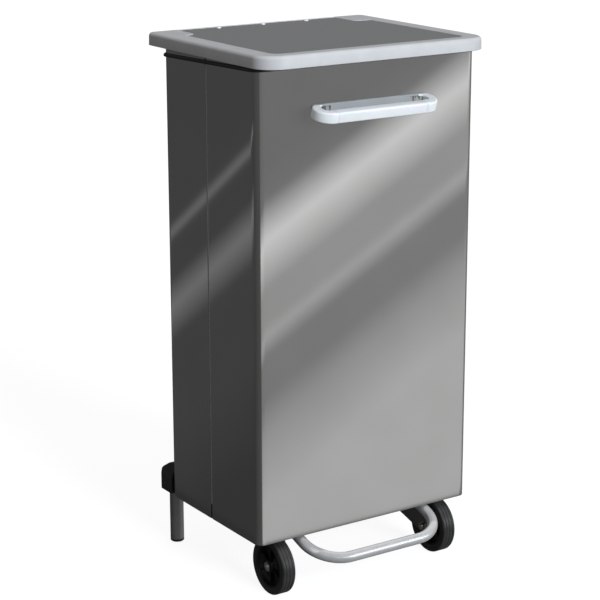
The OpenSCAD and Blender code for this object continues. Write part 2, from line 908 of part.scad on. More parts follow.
module rod_guides() {
    color("gray") at_casing() for (z = guide_z) difference() {
        union() {
            translate([rod_x - 12, inner_d - 2, z - 20]) cube([24, 2, 40]);
            translate([rod_x - 12, rod_y - 12, z]) cube([24, inner_d - rod_y + 12, 3]);
        }
        translate([rod_x, rod_y, z - 1]) cylinder(r = 6, h = 5);
    }
}

module guide_bushes() {
    color("white") at_casing() for (z = guide_z) translate([rod_x, rod_y, z]) difference() {
        union() {
            translate([0, 0, -4]) cylinder(r = 6, h = 8);
            translate([0, 0, 3]) cylinder(r = 8, h = 1.5);
            translate([0, 0, -4]) cylinder(r = 7, h = 4);
        }
        translate([0, 0, -5]) cylinder(r = rod_r + running, h = 12);
    }
}

// ---- lid lug ----

// Plate under the lid with a slot for the rod's upper pin
module lid_lug() {
    near = [-rod_arm * cos(lid_open / 2), -rod_arm * sin(lid_open / 2)];
    far = [-rod_arm, -rod_stroke / 2];
    slot_r = rod_pin_r + 1.35;
    lug_r = slot_r + 3.6;
    reach = norm(far - near);
    top = lid_under - hinge_z;
    color("gray") at_casing() difference() {
        union() {
            yz(rod_x - lever_t / 2, lever_t) translate([hinge_y, hinge_z]) polygon([
                [far[0] - lug_r - 6, top], [far[0] - lug_r, far[1] - 2], [far[0] - 3, far[1] - lug_r],
                [far[0] + 2, far[1] - lug_r], [near[0] + lug_r, near[1] - 3], [near[0] + lug_r, top],
            ]);
            translate([rod_x - 10, rod_y - 16, lid_under - 2]) cube([20, 30, 2]);
        }
        yz(rod_x - lever_t, 2 * lever_t) translate([hinge_y, hinge_z]) {
            for (p = [near, far]) translate(p) circle(slot_r);
            translate(near) rotate(180 + atan2(near[1] - far[1], near[0] - far[0]))
                translate([0, eps - slot_r]) square([reach, 2 * (slot_r - eps)]);
        }
        for (y = [-10, 8]) translate([rod_x - 6, rod_y + y, lid_under - 3]) cylinder(r = 1.6, h = 4);
    }
}

module lug_screws() {
    color("silver") at_casing() for (y = [-10, 8]) translate([rod_x - 6, rod_y + y, 0]) {
        translate([0, 0, lid_under - 2]) cylinder(r = 1.6, h = 2);
        translate([0, 0, lid_under - 4]) cylinder(r1 = 2, r2 = 3.2, h = 2);
    }
}

front_casing();
rear_casing();
seam_strips();
rim_profile();
bag_strap();
bottom_tray();
tray_posts();
base_frame();
wall_rivets();
wheel_brackets();
bracket_bolts();
axle_bolts();
axle_nuts();
axle_spacers();
left_tyre();
left_hub();
left_wheel_bush();
right_tyre();
right_hub();
right_wheel_bush();
leg_frame();
leg_brackets();
bracket_screws();
leg_caps();
corner_bumpers();
handle_base();
handle_grip();
handle_left_end();
handle_right_end();
handle_screws();
hinge_base();
hinge_pin();
hinge_leaf();
hinge_rivets();
lid_shell();
lid_panel();
lid_buffers();
lid_lug();
lug_screws();
pedal_bar();
pivot_tube();
pivot_bushes();
pivot_shaft();
pivot_brackets();
shaft_clips();
push_rod();
rod_clevises();
rod_pins();
rod_guides();
guide_bushes();
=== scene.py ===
import math

import bmesh
import bpy
from mathutils import Matrix, Vector


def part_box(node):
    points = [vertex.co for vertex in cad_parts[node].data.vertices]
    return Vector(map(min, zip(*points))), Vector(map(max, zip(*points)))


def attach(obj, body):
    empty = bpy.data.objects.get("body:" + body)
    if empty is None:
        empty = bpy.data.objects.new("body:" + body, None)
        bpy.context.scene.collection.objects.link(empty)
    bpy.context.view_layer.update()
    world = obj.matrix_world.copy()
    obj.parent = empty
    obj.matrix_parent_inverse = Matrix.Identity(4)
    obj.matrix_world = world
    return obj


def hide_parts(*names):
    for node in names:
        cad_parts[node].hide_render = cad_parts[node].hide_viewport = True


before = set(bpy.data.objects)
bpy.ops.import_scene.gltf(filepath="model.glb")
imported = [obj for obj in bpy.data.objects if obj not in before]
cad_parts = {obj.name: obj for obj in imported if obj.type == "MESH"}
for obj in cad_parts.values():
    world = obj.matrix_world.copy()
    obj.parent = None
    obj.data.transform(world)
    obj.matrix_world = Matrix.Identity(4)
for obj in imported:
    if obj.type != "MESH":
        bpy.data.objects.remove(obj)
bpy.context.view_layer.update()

MM = 0.001
scene = bpy.context.scene
scene.view_settings.view_transform = "Standard"

# ---- places taken from the frame ----

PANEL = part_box("front_casing")
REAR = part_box("rear_casing")
HALF_W = PANEL[1].x
FRONT_Y = PANEL[0].y
BACK_Y = REAR[1].y
CASING_Y = (FRONT_Y + BACK_Y) / 2
CASING_R = 15 * MM


# ---- meshes ----

def arc(x, y, r, start, end, steps=8):
    """Points on an arc about (x, y), between two angles in degrees."""
    angles = [math.radians(start + (end - start) * k / steps) for k in range(steps + 1)]
    return [(x + r * math.cos(a), y + r * math.sin(a)) for a in angles]


def rounded(x0, y0, x1, y1, front_r, rear_r, steps=8):
    """Outline of a rounded rectangle, counter-clockwise from its front left corner."""
    return (
        arc(x0 + front_r, y0 + front_r, front_r, 180, 270, steps)
        + arc(x1 - front_r, y0 + front_r, front_r, 270, 360, steps)
        + arc(x1 - rear_r, y1 - rear_r, rear_r, 0, 90, steps)
        + arc(x0 + rear_r, y1 - rear_r, rear_r, 90, 180, steps)
    )


def skin(rings, closed=False, caps=False):
    """A bmesh through rings of equally many points; closed joins the last ring to the first."""
    bm = bmesh.new()
    rows = [[bm.verts.new(p) for p in ring] for ring in rings]
    count = len(rows[0])
    pairs = list(zip(rows, rows[1:]))
    if closed:
        pairs.append((rows[-1], rows[0]))
    for a, b in pairs:
        for k in range(count):
            m = (k + 1) % count
            bm.faces.new((a[k], a[m], b[m], b[k]))
    if caps:
        bm.faces.new(list(reversed(rows[0])))
        bm.faces.new(rows[-1])
    return bm


def lathe(profile, steps=96):
    """A closed profile of (position along X, radius) turned about the X axis."""
    rings = []
    for k in range(steps):
        a = 2 * math.pi * k / steps
        rings.append([(x, r * math.cos(a), r * math.sin(a)) for x, r in profile])
    return skin(rings, closed=True)


def prism(outline, low, high):
    """A flat outline drawn out along Z."""
    return skin([[(x, y, z) for x, y in outline] for z in (low, high)], caps=True)


def block(low, high):
    """A plain block between two corners, for cutting with."""
    outline = [(low[0], low[1]), (high[0], low[1]), (high[0], high[1]), (low[0], high[1])]
    return prism(outline, low[2], high[2])


def rod(radius, start, end, steps=48):
    """A plain cylinder between two points, for cutting with."""
    axis = Vector(end) - Vector(start)
    turn = axis.to_track_quat("Z", "Y").to_matrix().to_4x4()
    circle = arc(0, 0, radius, 0, 360 - 360 / steps, steps - 1)
    bm = prism(circle, 0, axis.length)
    bm.transform(Matrix.Translation(start) @ turn)
    return bm


def join(*parts):
    """Several meshes in one."""
    whole = bmesh.new()
    for bm in parts:
        mesh = bpy.data.meshes.new("part")
        bm.to_mesh(mesh)
        whole.from_mesh(mesh)
        bpy.data.meshes.remove(mesh)
        bm.free()
    return whole


def mirrored(bm):
    """A copy on the other side of the object's middle."""
    other = bm.copy()
    other.transform(Matrix.Diagonal((-1, 1, 1, 1)))
    bmesh.ops.reverse_faces(other, faces=other.faces)
    return other


def both_sides(bm):
    return join(mirrored(bm), bm)


def loose_object(bm, name="tool"):
    mesh = bpy.data.meshes.new(name)
    bmesh.ops.recalc_face_normals(bm, faces=bm.faces)
    bm.to_mesh(mesh)
    bm.free()
    obj = bpy.data.objects.new(name, mesh)
    scene.collection.objects.link(obj)
    return obj


def combine(bm, tool, operation="DIFFERENCE"):
    """A boolean of two closed meshes."""
    target = loose_object(bm, "target")
    other = loose_object(tool)
    modifier = target.modifiers.new("combine", "BOOLEAN")
    modifier.object = other
    modifier.operation = operation
    modifier.solver = "EXACT"
    graph = bpy.context.evaluated_depsgraph_get()
    mesh = bpy.data.meshes.new_from_object(target.evaluated_get(graph))
    result = bmesh.new()
    result.from_mesh(mesh)
    for obj in (target, other):
        bpy.data.objects.remove(obj)
    bpy.data.meshes.remove(mesh)
    return result


def slice_off(bm, point, normal):
    """Removes what lies on the normal's side of a plane, and closes the cut."""
    geometry = bm.verts[:] + bm.edges[:] + bm.faces[:]
    bmesh.ops.bisect_plane(
        bm, geom=geometry, plane_co=point, plane_no=normal, clear_outer=True
    )
    open_edges = [e for e in bm.edges if e.is_boundary]
    bmesh.ops.holes_fill(bm, edges=open_edges, sides=0)


def bevel_edges(bm, chosen, width, segments=2):
    """Rounds the edges that a test chooses."""
    edges = [e for e in bm.edges if chosen(e)]
    bmesh.ops.bevel(
        bm, geom=edges, offset=width, segments=segments, profile=0.5,
        affect="EDGES", clamp_overlap=True,
    )


def piece(name, bm, body, material, replaces=(), angle=40):
    """Makes a piece of the object: smooth, with its material, riding on its body."""
    obj = loose_object(bm, name)
    obj.data.shade_smooth()
    obj.data.set_sharp_from_angle(angle=math.radians(angle))
    obj.data.materials.append(material)
    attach(obj, body)
    if replaces:
        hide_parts(*replaces)
    return obj


def soften(obj, width, segments=2):
    """Merges a mesh's split corners and rounds its edges, with modifiers only."""
    weld = obj.modifiers.new("weld", "WELD")
    weld.merge_threshold = 0.01 * MM
    flat = obj.modifiers.new("flat", "DECIMATE")
    flat.decimate_type = "DISSOLVE"
    flat.angle_limit = math.radians(1)
    bevel = obj.modifiers.new("bevel", "BEVEL")
    bevel.width = width
    bevel.segments = segments
    bevel.limit_method = "ANGLE"
    bevel.angle_limit = math.radians(40)
    bevel.miter_outer = "MITER_ARC"
    normals = obj.modifiers.new("normals", "WEIGHTED_NORMAL")
    normals.keep_sharp = True


# ---- material helpers ----

def linear(level):
    """Display level, 0 to 255, as linear light."""
    share = level / 255
    if share <= 0.04045:
        return share / 12.92
    return ((share + 0.055) / 1.055) ** 2.4


def tinted(level, tint=(1, 1, 1)):
    return tuple(linear(level) * t for t in tint) + (1,)


class Shader:
    """A material with its principled shader, and short ways to add nodes."""

    def __init__(self, name):
        self.material = bpy.data.materials.new(name)
        self.material.use_nodes = True
        self.tree = self.material.node_tree
        self.surface = self.tree.nodes["Principled BSDF"]
        self.place = self.node("ShaderNodeTexCoord").outputs["Object"]

    def node(self, kind, **values):
        node = self.tree.nodes.new(kind)
        for key, value in values.items():
            setattr(node, key, value)
        return node

    def link(self, source, target):
        self.tree.links.new(source, target)

    def set(self, **values):
        for key, value in values.items():
            self.surface.inputs[key.replace("_", " ").capitalize()].default_value = value

    def stretched(self, stretch):
        mapping = self.node("ShaderNodeMapping")
        mapping.inputs["Scale"].default_value = stretch
        self.link(self.place, mapping.inputs["Vector"])
        return mapping.outputs["Vector"]

    def noise(self, scale, detail=3, stretch=None):
        noise = self.node("ShaderNodeTexNoise")
        noise.inputs["Scale"].default_value = scale
        noise.inputs["Detail"].default_value = detail
        self.link(self.stretched(stretch) if stretch else self.place, noise.inputs["Vector"])
        return noise.outputs["Fac"]

    def speckle(self, scale):
        cells = self.node("ShaderNodeTexVoronoi")
        cells.inputs["Scale"].default_value = scale
        self.link(self.place, cells.inputs["Vector"])
        return cells.outputs["Distance"]

    def mapped(self, value, low, high, start=0.3, end=0.7):
        """Spreads a value's range from start to end over low to high."""
        node = self.node("ShaderNodeMapRange")
        self.link(value, node.inputs["Value"])
        node.inputs["From Min"].default_value = start
        node.inputs["From Max"].default_value = end
        node.inputs["To Min"].default_value = low
        node.inputs["To Max"].default_value = high
        return node.outputs["Result"]

    def colour(self, value, dark, light, start=0.3, end=0.7):
        """Base colour that runs from dark to light with a value."""
        ramp = self.node("ShaderNodeValToRGB")
        ramp.color_ramp.elements[0].position = start
        ramp.color_ramp.elements[0].color = dark
        ramp.color_ramp.elements[1].position = end
        ramp.color_ramp.elements[1].color = light
        self.link(value, ramp.inputs["Fac"])
        self.link(ramp.outputs["Color"], self.surface.inputs["Base Color"])

    def rough(self, value, low, high):
        self.link(self.mapped(value, low, high), self.surface.inputs["Roughness"])

    def bump(self, *layers):
        """Stacks bumps, each a value and its height."""
        last = None
        for value, height in layers:
            bump = self.node("ShaderNodeBump")
            bump.inputs["Distance"].default_value = height
            bump.inputs["Strength"].default_value = 1
            self.link(value, bump.inputs["Height"])
            if last:
                self.link(last, bump.inputs["Normal"])
            last = bump.outputs["Normal"]
        self.link(last, self.surface.inputs["Normal"])


def sheet_steel(name, level, roughness):
    """Satin steel sheet: fine grain, faint clouds and a slight waviness."""
    s = Shader(name)
    clouds = s.noise(9, 4)
    grain = s.noise(1400, 2)
    s.set(metallic=1.0)
    s.colour(clouds, tinted(level - 2, (1, 0.995, 0.985)), tinted(level + 2, (1, 0.995, 0.99)))
    s.rough(grain, roughness - 0.02, roughness + 0.02)
    s.bump((s.noise(5, 1), 0.12 * MM), (grain, 0.0015 * MM))
    return s.material


def brushed_steel(name, level, roughness, stretch=(1, 1, 0.03), metallic=1.0):
    """Steel with drawn lines along one direction."""
    s = Shader(name)
    lines = s.noise(900, 3, stretch)
    s.set(metallic=metallic)
    s.colour(lines, tinted(level - 14), tinted(level + 6))
    s.rough(lines, roughness - 0.05, roughness + 0.06)
    s.bump((lines, 0.01 * MM))
    return s.material


def tube_steel(name, level, roughness=0.34, metallic=0.7):
    """Steel tube with a smooth satin finish."""
    s = Shader(name)
    clouds = s.noise(60, 3)
    s.set(metallic=metallic)
    s.colour(clouds, tinted(level - 6, (0.985, 0.99, 1)), tinted(level + 4, (0.985, 0.99, 1)))
    s.rough(clouds, roughness - 0.04, roughness + 0.06)
    s.bump((s.noise(500, 2), 0.003 * MM))
    return s.material


def zinc(name, level=200):
    """Bright zinc on fasteners, with faint spangle."""
    s = Shader(name)
    cells = s.speckle(420)
    s.set(metallic=1.0)
    s.colour(cells, tinted(level - 18, (1, 1, 0.97)), tinted(level, (1, 1, 0.99)), 0, 1)
    s.rough(s.noise(800), 0.2, 0.34)
    s.bump((s.noise(1200, 2), 0.006 * MM))
    return s.material


def moulded(name, level, tint, roughness, grain=0.02, coat=0.0, spread=5):
    """Moulded plastic with a fine grain and small changes of tone."""
    s = Shader(name)
    clouds = s.noise(30, 4)
    pits = s.noise(1500, 3)
    s.colour(clouds, tinted(level - spread, tint), tinted(level + spread * 0.6, tint))
    s.rough(pits, roughness - 0.05, roughness + 0.05)
    s.bump((pits, grain * MM))
    s.surface.inputs["Coat Weight"].default_value = coat
    s.surface.inputs["Coat Roughness"].default_value = 0.12
    return s.material


def white_plastic(name, level):
    """Glossy white plastic with some light passing in, and a painted glow: a faint even emission that
    lifts its shaded parts.
    """
    material = moulded(name, level, (0.955, 0.975, 1), 0.24, 0.004, 0.3, 2)
    surface = material.node_tree.nodes["Principled BSDF"]
    surface.inputs["Subsurface Weight"].default_value = 0.3
    surface.inputs["Subsurface Scale"].default_value = 4 * MM
    # painted glow: an even emission that stands in for light reaching the handle's shaded parts
    surface.inputs["Emission Color"].default_value = (0.93, 0.97, 1, 1)
    surface.inputs["Emission Strength"].default_value = 0.09
    return material


def textured_panel(name, level):
    """Grained plastic sheet with a fine light and dark fleck."""
    s = Shader(name)
    fleck = s.noise(480, 3)
    s.colour(fleck, tinted(level - 16), tinted(level + 14, (1, 1, 0.99)), 0.35, 0.65)
    s.rough(fleck, 0.5, 0.62)
    s.bump((s.speckle(900), 0.05 * MM), (fleck, 0.03 * MM))
    return s.material


def rubber(name, level, roughness=0.62):
    """Matt rubber with dusty, slightly worn patches."""
    s = Shader(name)
    dust = s.noise(45, 5)
    s.colour(dust, tinted(level - 6), tinted(level + 9, (1, 0.99, 0.97)))
    s.rough(dust, roughness - 0.06, roughness + 0.1)
    s.bump((s.noise(900, 3), 0.03 * MM))
    return s.material


def nylon(name):
    """Natural nylon with light passing a little way in."""
    s = Shader(name)
    s.colour(s.noise(80), tinted(226, (1, 0.98, 0.93)), tinted(236, (1, 0.99, 0.95)))
    s.set(roughness=0.38)
    s.surface.inputs["Subsurface Weight"].default_value = 0.15
    s.surface.inputs["Subsurface Scale"].default_value = 1 * MM
    s.bump((s.noise(500), 0.02 * MM))
    return s.material


MATERIALS = {
    "casing_sheet": sheet_steel("casing_sheet", 180, 0.19),
    "joint_strip": brushed_steel("joint_strip", 222, 0.3, metallic=0.3),
    # painted shade: frame_steel is kept dark so the frame seen through the gap at the foot of the
    # casing's joint reads as shade
    "frame_steel": brushed_steel("frame_steel", 112, 0.42, (0.05, 1, 1)),
    "dark_steel": tube_steel("dark_steel", 118, 0.36, 0.8),
    "tube_steel": tube_steel("tube_steel", 221),
    "leg_steel": tube_steel("leg_steel", 162, 0.3, 0.9),
    "fastener_zinc": zinc("fastener_zinc"),
    # painted highlight: the metal rivet heads are coloured near white in place of their glint
    "rivet_white_highlight": moulded("rivet_white_highlight", 244, (0.98, 0.99, 1), 0.25, 0.004, 0.4, 2),
    "lid_plastic": moulded("lid_plastic", 198, (0.985, 0.985, 1), 0.46, 0.02),
    "panel_plastic": textured_panel("panel_plastic", 124),
    "white_plastic": white_plastic("white_plastic", 229),
    "blue_grey_plastic": moulded("blue_grey_plastic", 152, (0.93, 0.965, 1), 0.34, 0.01, 0.3),
    "black_rubber": rubber("black_rubber", 30),
    "black_plastic": moulded("black_plastic", 32, (1, 1, 0.97), 0.4, 0.04),
    "rim_plastic": moulded("rim_plastic", 70, (1, 1, 1), 0.5, 0.03),
    "tyre_rubber": rubber("tyre_rubber", 42, 0.4),
    "hub_plastic": moulded("hub_plastic", 6, (1, 1, 1.02), 0.46, 0.015, spread=2),
    "natural_nylon": nylon("natural_nylon"),
}


def finish_cad_nodes():
    """Gives every CAD node that stays its procedural material, and worked parts soft edges."""
    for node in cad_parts.values():
        slot = node.data.materials[0].name.split(".")[0]
        node.data.materials.clear()
        node.data.materials.append(MATERIALS[slot])
    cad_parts["leg_frame"].data.materials[0] = MATERIALS["leg_steel"]
    for name in ("base_frame", "wheel_brackets", "leg_brackets", "rod_clevises", "lid_lug"):
        soften(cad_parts[name], 0.4 * MM)
    soften(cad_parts["corner_bumpers"], 1.2 * MM, 3)
    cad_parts["handle_screws"].visible_glossy = False


# ---- lid ----

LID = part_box("lid_shell")
LID_TOP = LID[1].z
LID_LOW = LID[0].z
LID_FRONT_R = 40 * MM
LID_REAR_R = 15 * MM
LID_EDGE_R = 6 * MM
LID_WALL = 2.8 * MM
LID_UNDER = LID_TOP - 4 * MM
RECESS = 1.8 * MM
RECESS_LIP = 0.8 * MM


def lid_ring(inset, z):
    front_r = max(LID_FRONT_R - inset, 1 * MM)
    rear_r = max(LID_REAR_R - inset, 1 * MM)
    low, high = LID
    outline = rounded(
        low.x + inset, low.y + inset, high.x - inset, high.y - inset, front_r, rear_r, 12
    )
    return [(x, y, z) for x, y in outline]


def panel_side(grow, rear_half):
    """The right half of the recess, from the front to the back."""
    half = 190.5 * MM + grow
    front = LID[0].y + 26 * MM - grow
    back = LID[1].y - 9.6 * MM + grow
    block_y = CASING_Y + 118 * MM + grow
    front_r = 16 * MM + grow
    block_r = 13 * MM - grow
    inner_r = 2.5 * MM + grow
    inner = rear_half + grow
    return (
        arc(half - front_r, front + front_r, front_r, 270, 360)
        + arc(half - inner_r, block_y - inner_r, inner_r, 0, 78, 4)
        + arc(inner + block_r, block_y + 4 * MM + block_r, block_r, 258, 180)
        + arc(inner - 2 * MM, back - 2 * MM, 2 * MM, 0, 90, 3)
    )


def panel_outline(grow):
    """The recess in the lid's top; the raised block at its right rear corner is the wider one."""
    right = panel_side(grow, 159 * MM)
    left = [(-x, y) for x, y in reversed(panel_side(grow, 168 * MM))]
    return right + left


def ring_at(outline, z):
    return [(x, y, z) for x, y in outline]


def quarter(r, steps=6):
    """Inset and drop round a quarter of a fillet, from the side to the top."""
    angles = [math.radians(90 * k / steps) for k in range(steps + 1)]
    return [(r - r * math.cos(a), r * math.sin(a)) for a in angles]


def lid_skirt_rings():
    foot = 0.9 * MM
    draft = 0.3 * MM
    inner_r = 2 * MM
    rings = [lid_ring(LID_WALL + inner_r - i, LID_UNDER - d) for i, d in quarter(inner_r)]
    rings.append(lid_ring(LID_WALL, LID_LOW + foot))
    rings.append(lid_ring(LID_WALL - foot, LID_LOW))
    rings += [lid_ring(i, LID_LOW + foot - d) for i, d in reversed(quarter(foot, 4))]
    rings += [
        lid_ring(draft + i, LID_TOP - LID_EDGE_R + d) for i, d in quarter(LID_EDGE_R, 10)
    ]
    rings.append(lid_ring(draft + LID_EDGE_R + 1 * MM, LID_TOP))
    return rings


def lid_shell():
    """Lid with a soft moulded edge, a recessed top and two raised rear corners."""
    bm = skin(lid_skirt_rings())
    count = len(lid_ring(0, 0))
    bm.verts.ensure_lookup_table()
    bm.faces.new(list(reversed(bm.verts[:count])))
    rings = [
        ring_at(panel_outline(RECESS_LIP - RECESS_LIP * math.sin(a)),
                LID_TOP - RECESS_LIP + RECESS_LIP * math.cos(a))
        for a in [math.pi / 2 * k / 4 for k in range(5)]
    ]
    rings.append(ring_at(panel_outline(0), LID_TOP - RECESS))
    recess = skin([ring_at(panel_outline(RECESS_LIP + 1 * MM), LID_TOP)] + rings)
    recess.verts.ensure_lookup_table()
    size = len(rings[0])
    recess.faces.new(recess.verts[-size:])
    start = len(bm.verts)
    merged = join(bm, recess)
    merged.verts.ensure_lookup_table()
    loops = [merged.verts[start - count:start], merged.verts[start:start + size]]
    edges = []
    for loop in loops:
        for k, v in enumerate(loop):
            edges.append(merged.edges.get((v, loop[(k + 1) % len(loop)])))
    bmesh.ops.triangle_fill(merged, edges=edges, use_beauty=True)
    return merged


def lid_panel():
    """Thin grained sheet that lies in the lid's recess, with slightly rolled edges."""
    gap = 0.4 * MM
    roll = 0.35 * MM
    low = LID_TOP - RECESS + 0.05 * MM
    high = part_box("lid_panel")[1].z
    rings = [
        ring_at(panel_outline(-gap), low),
        ring_at(panel_outline(-gap), high - roll),
        ring_at(panel_outline(-gap - roll * 0.3), high - roll * 0.3),
        ring_at(panel_outline(-gap - roll), high),
        ring_at(panel_outline(-gap - roll - 0.6 * MM), high),
    ]
    return skin(rings, caps=True)


def rivet_heads():
    """Domed heads of the three rivets on the lid, with their shanks and formed ends."""
    low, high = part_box("hinge_rivets")
    head_r = 4.2 * MM
    head_h = 2.3 * MM
    top = high.z - 1.8 * MM
    middle_y = (low.y + high.y) / 2
    dome = [
        (top - low.z + head_h * math.sin(math.radians(a)), head_r * math.cos(math.radians(a)))
        for a in (0, 15, 30, 45, 60, 75, 88)
    ]
    profile = [(0, 0.05 * MM), (0, 2.6 * MM), (1.5 * MM, 3.5 * MM), (1.6 * MM, 2 * MM)]
    profile += [(top - low.z, 2 * MM)] + dome + [(top - low.z + head_h, 0.05 * MM)]
    upright = Matrix.Rotation(math.radians(-90), 4, "Y")
    parts = []
    for x in (low.x + head_r, 0, high.x - head_r):
        bm = lathe(profile, 40)
        bm.transform(Matrix.Translation((x, middle_y, low.z)) @ upright)
        parts.append(bm)
    return join(*parts)


def build_lid():
    # the rivet heads carry a painted highlight: near-white colour in place of the metal's glint
    piece("lid_rivet_heads", rivet_heads(), "lid", MATERIALS["rivet_white_highlight"],
          ["hinge_rivets"], 50)
    piece("lid_cover", lid_shell(), "lid", MATERIALS["lid_plastic"],
          ["lid_shell"], 50)
    piece("lid_top_sheet", lid_panel(), "lid", MATERIALS["panel_plastic"],
          ["lid_panel"], 50)


# ---- handle ----

HANDLE_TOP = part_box("handle_base")[1].z
HANDLE_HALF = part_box("handle_right_end")[1].x
HANDLE_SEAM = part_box("handle_grip")[1].x
HANDLE_OUT = 45 * MM
HANDLE_BAR = 16.5 * MM
HANDLE_FRONT_R = 26 * MM
HANDLE_END_BAR = 16 * MM
HANDLE_REAR_BAR = 5.5 * MM
HANDLE_SIDE_SEAM = 9.1 * MM
HANDLE_H = 18 * MM
HANDLE_TILT = math.radians(13)
HANDLE_BASE_T = 5 * MM
HANDLE_REAR_R = 16 * MM
HANDLE_HOLE_R = 9 * MM
HANDLE_EDGE = 3.2 * MM
HANDLE_FOOT = 2.2 * MM
HOLE_EDGE = 1.8 * MM
POCKET_FLOOR = 1.5 * MM
POCKETS = ((80 * MM, 87.5 * MM), (89.2 * MM, 106 * MM))


def handle_outer(inset, z):
    outline = rounded(
        -HANDLE_HALF + inset, inset, HANDLE_HALF - inset, HANDLE_OUT - inset,
        HANDLE_REAR_R - inset, HANDLE_FRONT_R - inset, 14,
    )
    return ring_at(outline, z)


def handle_hole(grow, z):
    half = HANDLE_HALF - HANDLE_END_BAR + grow
    outline = rounded(
        -half, HANDLE_REAR_BAR - grow, half, HANDLE_OUT - HANDLE_BAR + grow,
        HANDLE_HOLE_R + grow, HANDLE_HOLE_R + grow, 14,
    )
    return ring_at(outline, z)


def handle_ring():
    """The whole ring with rounded edges, drawn flat with y away from the casing."""
    hole = quarter(HOLE_EDGE, 5)
    rings = [handle_hole(i, HOLE_EDGE - d) for i, d in reversed(hole)]
    rings += [handle_hole(i, HANDLE_H - HOLE_EDGE + d) for i, d in hole]
    top = reversed(quarter(HANDLE_EDGE))
    rings += [handle_outer(i, HANDLE_H - HANDLE_EDGE + d) for i, d in top]
    rings += [handle_outer(i, HANDLE_FOOT - d) for i, d in quarter(HANDLE_FOOT)]
    bm = skin(rings, closed=True)
    place = (
        Matrix.Translation((0, FRONT_Y, HANDLE_TOP))
        @ Matrix.Rotation(HANDLE_TILT, 4, "X")
        @ Matrix.Diagonal((1, -1, 1, 1))
        @ Matrix.Translation((0, 0, -HANDLE_H))
    )
    bm.transform(place)
    bmesh.ops.recalc_face_normals(bm, faces=bm.faces)
    return bm


def pocket_blocks(low_z, high_z, deep_y):
    """Blocks for the screw pockets at both ends of the handle's rear bar."""
    near_y = FRONT_Y - 13 * MM
    parts = []
    for x0, x1 in POCKETS:
        parts.append(block((x0, near_y, low_z), (x1, deep_y, high_z)))
        parts.append(block((-x1, near_y, low_z), (-x0, deep_y, high_z)))
    return join(*parts)


def handle_part(x0, x1):
    """The ring between two upright planes, without what the base takes."""
    bm = handle_ring()
    slice_off(bm, (0, FRONT_Y - HANDLE_BASE_T, 0), (0, 1, 0))
    if x0 is not None:
        slice_off(bm, (x0, 0, 0), (-1, 0, 0))
    if x1 is not None:
        slice_off(bm, (x1, 0, 0), (1, 0, 0))
    ends = [x for x in (x0, x1) if x is not None]
    bevel_edges(bm, lambda e: e.calc_face_angle(0) > math.radians(50) and any(
        all(abs(v.co.x - x) < 0.01 * MM for v in e.verts) for x in ends), 0.45 * MM)
    bm = combine(bm, pocket_blocks(HANDLE_TOP - 14 * MM, HANDLE_TOP - 5 * MM, FRONT_Y))
    return combine(bm, side_seams())


def side_seams():
    """Fine upright grooves round the outer ends of the ring."""
    parts = []
    for side in (-1, 1):
        xs = sorted((side * (HANDLE_HALF - 2.2 * MM), side * (HANDLE_HALF + 1 * MM)))
        parts.append(block(
            (xs[0], FRONT_Y - HANDLE_SIDE_SEAM - 0.3 * MM, HANDLE_TOP - 30 * MM),
            (xs[1], FRONT_Y - HANDLE_SIDE_SEAM + 0.3 * MM, HANDLE_TOP + 1 * MM),
        ))
    return join(*parts)


def handle_base():
    """Back plate with rounded edges and a pair of screw pockets at each end."""
    box_low, box_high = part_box("handle_base")
    edge = 1.2 * MM
    thick = HANDLE_BASE_T - 0.1 * MM
    rings = []
    for inset, depth in [(0, 0)] + [(i, thick - edge + d) for i, d in quarter(edge, 4)]:
        outline = rounded(
            box_low.x + inset, box_low.z + inset, box_high.x - inset, box_high.z - inset,
            4 * MM - inset, 4 * MM - inset,
        )
        rings.append([(x, FRONT_Y - depth, z) for x, z in outline])
    bm = skin(rings, caps=True)
    floor_y = FRONT_Y - POCKET_FLOOR
    return combine(bm, pocket_blocks(HANDLE_TOP - 13.5 * MM, HANDLE_TOP - 3.5 * MM, floor_y))


def build_handle():
    white = MATERIALS["white_plastic"]
    gap = 0.4 * MM
    pieces = [
        piece("handle_bar", handle_part(-HANDLE_SEAM, HANDLE_SEAM), "casing",
              white, ["handle_grip"], 35),
        piece("handle_end_left", handle_part(None, -HANDLE_SEAM - gap), "casing",
              white, ["handle_left_end"], 35),
        piece("handle_end_right", handle_part(HANDLE_SEAM + gap, None), "casing",
              white, ["handle_right_end"], 35),
        piece("handle_back_plate", handle_base(), "casing",
              MATERIALS["blue_grey_plastic"], ["handle_base"], 35),
    ]
    for obj in pieces:
        obj.visible_glossy = False


# ---- wheels ----

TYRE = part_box("right_tyre")
WHEEL_W = TYRE[1].x - TYRE[0].x
WHEEL_R = (TYRE[1].z - TYRE[0].z) / 2
AXLE = Vector((0, (TYRE[0].y + TYRE[1].y) / 2, TYRE[0].z + WHEEL_R))
HUB_R = 38 * MM
BUSH_R = 6 * MM


def groove(middle, half, deep):
    """A rounded groove round the tread, as points of (position along the axle, radius)."""
    return [
        (middle - half, WHEEL_R - 0.05 * MM), (middle - half * 0.8, WHEEL_R - deep * 0.6),
        (middle - half * 0.4, WHEEL_R - deep), (middle + half * 0.4, WHEEL_R - deep),
        (middle + half * 0.8, WHEEL_R - deep * 0.6), (middle + half, WHEEL_R - 0.05 * MM),
    ]


def tyre():
    """Tyre with rounded shoulders, three tread grooves and a raised line on each side wall."""
    shoulder = 3 * MM
    line_r = 43 * MM
    side = [
        (0.7 * MM, HUB_R + 0.1 * MM), (0.1 * MM, HUB_R + 1.4 * MM), (0.1 * MM, line_r - 1.2 * MM),
        (0.5 * MM, line_r - 0.8 * MM), (0.5 * MM, line_r + 0.2 * MM), (0, line_r + 0.7 * MM),
    ]
    curve = arc(shoulder, WHEEL_R - shoulder, shoulder, 180, 90, 6)
    tread = []
    for k in (1, 2, 3):
        tread += groove(WHEEL_W * k / 4, 0.9 * MM, 1 * MM)
    far = [(WHEEL_W - x, r) for x, r in reversed(side + curve)]
    return lathe(side + curve + tread + far, 128)


